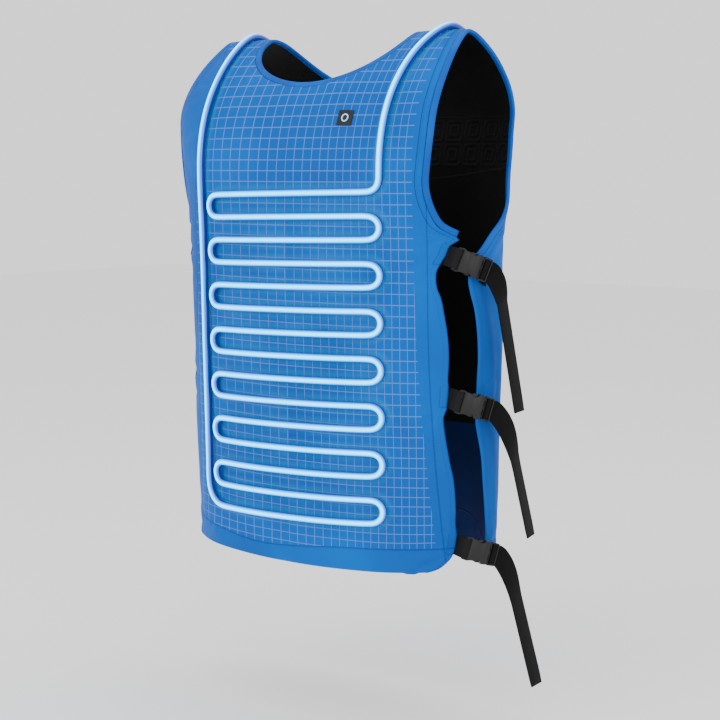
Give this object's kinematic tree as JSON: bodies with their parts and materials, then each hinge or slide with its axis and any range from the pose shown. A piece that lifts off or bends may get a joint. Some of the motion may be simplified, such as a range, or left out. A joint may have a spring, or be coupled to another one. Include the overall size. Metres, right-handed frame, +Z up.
{
  "type": "cooling vest",
  "caption": "Sleeveless cooling vest as worn: blue front and back panels, black lining, bound neck and armholes, a snaking cooling tube and buckled side straps.",
  "frame": {"origin": "on the shoulder line, over the middle of the neck hole, where a wearer's shoulders carry the vest", "axes": "+Z up along the body, the front faces -Y, +X is the wearer's left"},
  "size_m": [0.5128, 0.2217, 0.7983],
  "materials": {
    "shell_blue": "woven nylon, soft sheen, pale grid print on the front",
    "binding_blue": "folded nylon tape",
    "lining_black": "matt woven lining, embossed upper back",
    "tube_ice": "translucent pale ice-blue tube",
    "webbing_black": "woven polyester webbing",
    "buckle_black": "moulded acetal",
    "patch_black": "moulded soft-touch"
  },
  "bodies": {
    "root": {"front_panel": "shell_blue", "back_panel": "shell_blue", "front_lining": "lining_black", "back_lining": "lining_black", "neck_binding": "binding_blue", "cooling_tube": "tube_ice", "control_patch": "patch_black", "arm_binding_left": "binding_blue", "strap_anchor_left_1": "webbing_black", "buckle_socket_left_1": "buckle_black", "buckle_plug_left_1": "buckle_black", "strap_tail_left_1": "webbing_black", "strap_anchor_left_2": "webbing_black", "buckle_socket_left_2": "buckle_black", "buckle_plug_left_2": "buckle_black", "strap_tail_left_2": "webbing_black", "strap_anchor_left_3": "webbing_black", "buckle_socket_left_3": "buckle_black", "buckle_plug_left_3": "buckle_black", "strap_tail_left_3": "webbing_black", "arm_binding_right": "binding_blue", "strap_anchor_right_1": "webbing_black", "buckle_socket_right_1": "buckle_black", "buckle_plug_right_1": "buckle_black", "strap_tail_right_1": "webbing_black", "strap_anchor_right_2": "webbing_black", "buckle_socket_right_2": "buckle_black", "buckle_plug_right_2": "buckle_black", "strap_tail_right_2": "webbing_black", "strap_anchor_right_3": "webbing_black", "buckle_socket_right_3": "buckle_black", "buckle_plug_right_3": "buckle_black", "strap_tail_right_3": "webbing_black"}
  },
  "joints": []
}
